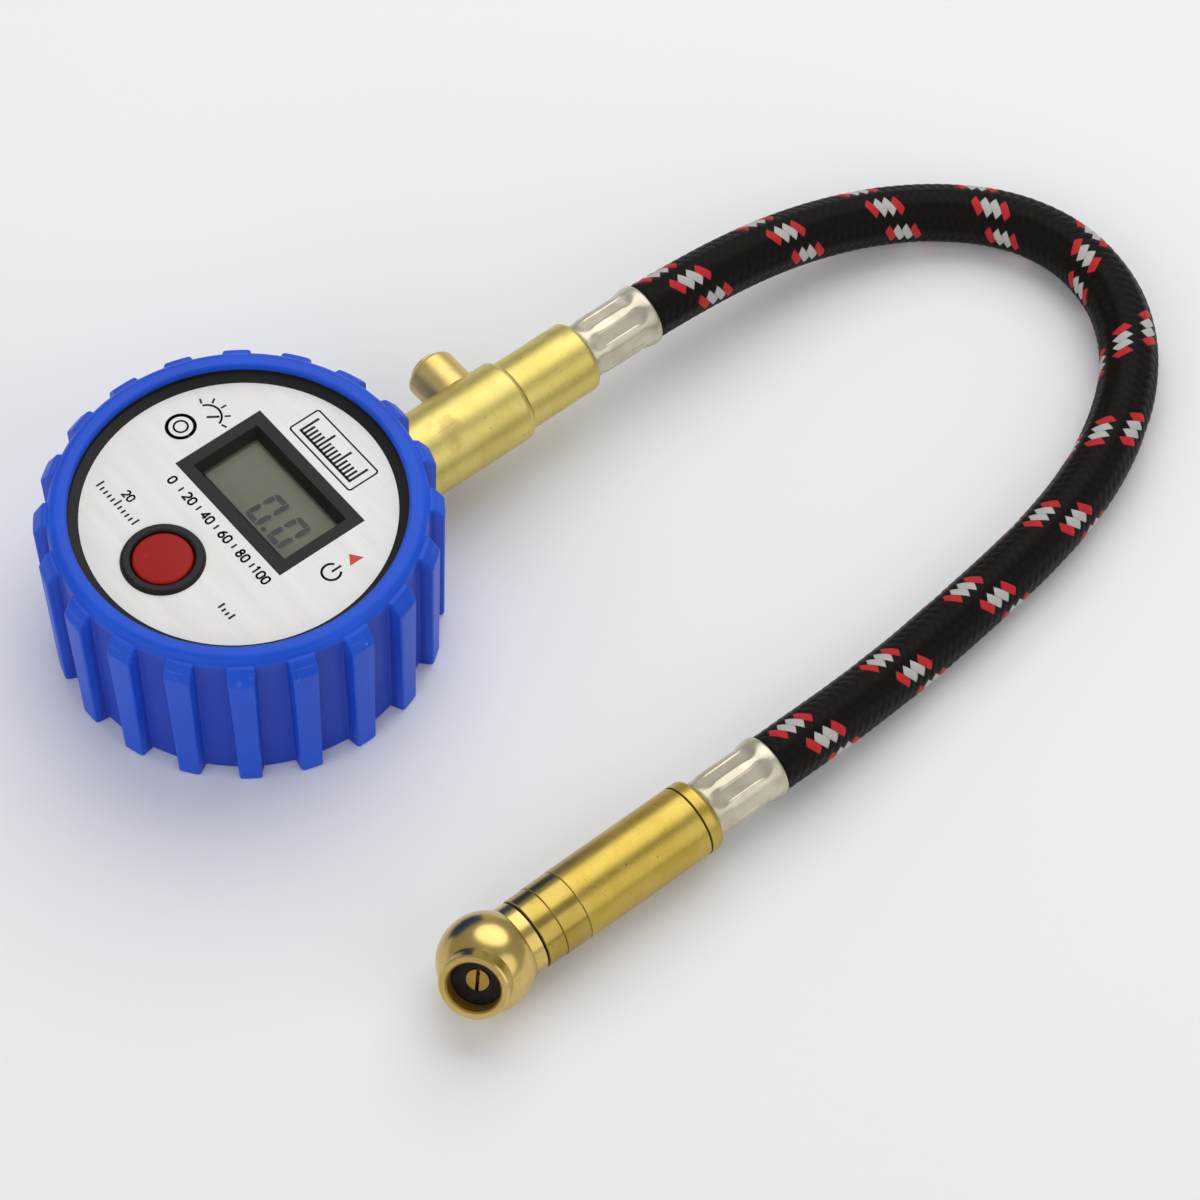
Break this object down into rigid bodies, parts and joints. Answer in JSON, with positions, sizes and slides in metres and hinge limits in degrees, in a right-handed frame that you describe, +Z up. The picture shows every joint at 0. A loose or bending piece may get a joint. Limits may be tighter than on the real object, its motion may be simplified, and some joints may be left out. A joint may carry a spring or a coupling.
{
  "type": "tyre pressure gauge",
  "caption": "Digital tyre pressure gauge: a round display head in a ribbed rubber boot, a brass valve body with a bleed button, a braided hose and a swivelling angled chuck.",
  "frame": {"origin": "centre of the boot's base, on the table", "axes": "+Z up out of the display, +Y along the brass body away from the head, +X to the right of the display as it is read"},
  "size_m": [0.1211, 0.1919, 0.0319],
  "materials": {
    "boot_rubber": "matt moulded rubber",
    "case_black": "fine satin",
    "plate_white": "satin",
    "window_clear": "clear",
    "lcd_grey": "satin",
    "strip_pink": "matt",
    "button_red": "satin",
    "board_green": "satin",
    "cell_can": "printed sleeve",
    "contact_steel": "plated",
    "screw_steel": "plated",
    "sensor_steel": "satin",
    "brass_turned": "turned, satin",
    "ferrule_nickel": "plated, satin",
    "hose_black": "braided cover",
    "seal_black": "matt"
  },
  "bodies": {
    "gauge": {"rubber_boot": "boot_rubber", "case_back": "case_black", "case_front": "case_black", "face_plate": "plate_white", "display_window": "window_clear", "lcd_panel": "lcd_grey", "elastomer_strips": "strip_pink", "tact_switch": "contact_steel", "circuit_board": "board_green", "battery_cells": "cell_can", "contact_springs": "contact_steel", "contact_plates": "contact_steel", "battery_cover": "case_black", "case_screws": "screw_steel", "stem_nut": "brass_turned", "pressure_sensor": "sensor_steel", "sensor_seal": "seal_black", "valve_body": "brass_turned", "bleed_housing": "brass_turned", "bleed_spring": "contact_steel", "hose_adaptor": "brass_turned", "adaptor_seal": "seal_black", "gauge_ferrule": "ferrule_nickel", "hose": "hose_black", "chuck_ferrule": "ferrule_nickel", "chuck_tail": "brass_turned", "tail_seal": "seal_black", "chuck_barrel": "brass_turned", "swivel_collar": "brass_turned", "gland_ring": "brass_turned"},
    "power_button_group": {"power_button": "button_red", "switch_plunger": "case_black"},
    "bleed_button_group": {"bleed_button": "brass_turned", "bleed_stem": "brass_turned", "bleed_seal": "seal_black"},
    "swivel_head": {"chuck_head": "brass_turned", "chuck_washer": "seal_black", "depressor_pin": "brass_turned", "swivel_clip": "contact_steel", "swivel_seal": "seal_black"}
  },
  "joints": [
    {"name": "power_button_press", "type": "slide", "parent": "gauge", "child": "power_button_group", "axis": [0, 0, -1], "range_m": [0, 0.0008], "stiffness_N_per_m": 2000, "springref_m": -0.0004},
    {"name": "bleed_button_press", "type": "slide", "parent": "gauge", "child": "bleed_button_group", "axis": [1, 0, 0], "range_m": [0, 0.0012], "stiffness_N_per_m": 1500, "springref_m": -0.0008, "deforming": ["bleed_spring"]},
    {"name": "chuck_swivel", "type": "hinge", "parent": "gauge", "child": "swivel_head", "pos_m": [0.0794, -0.0128, 0.008], "axis": [0, 1, 0], "continuous": true}
  ]
}
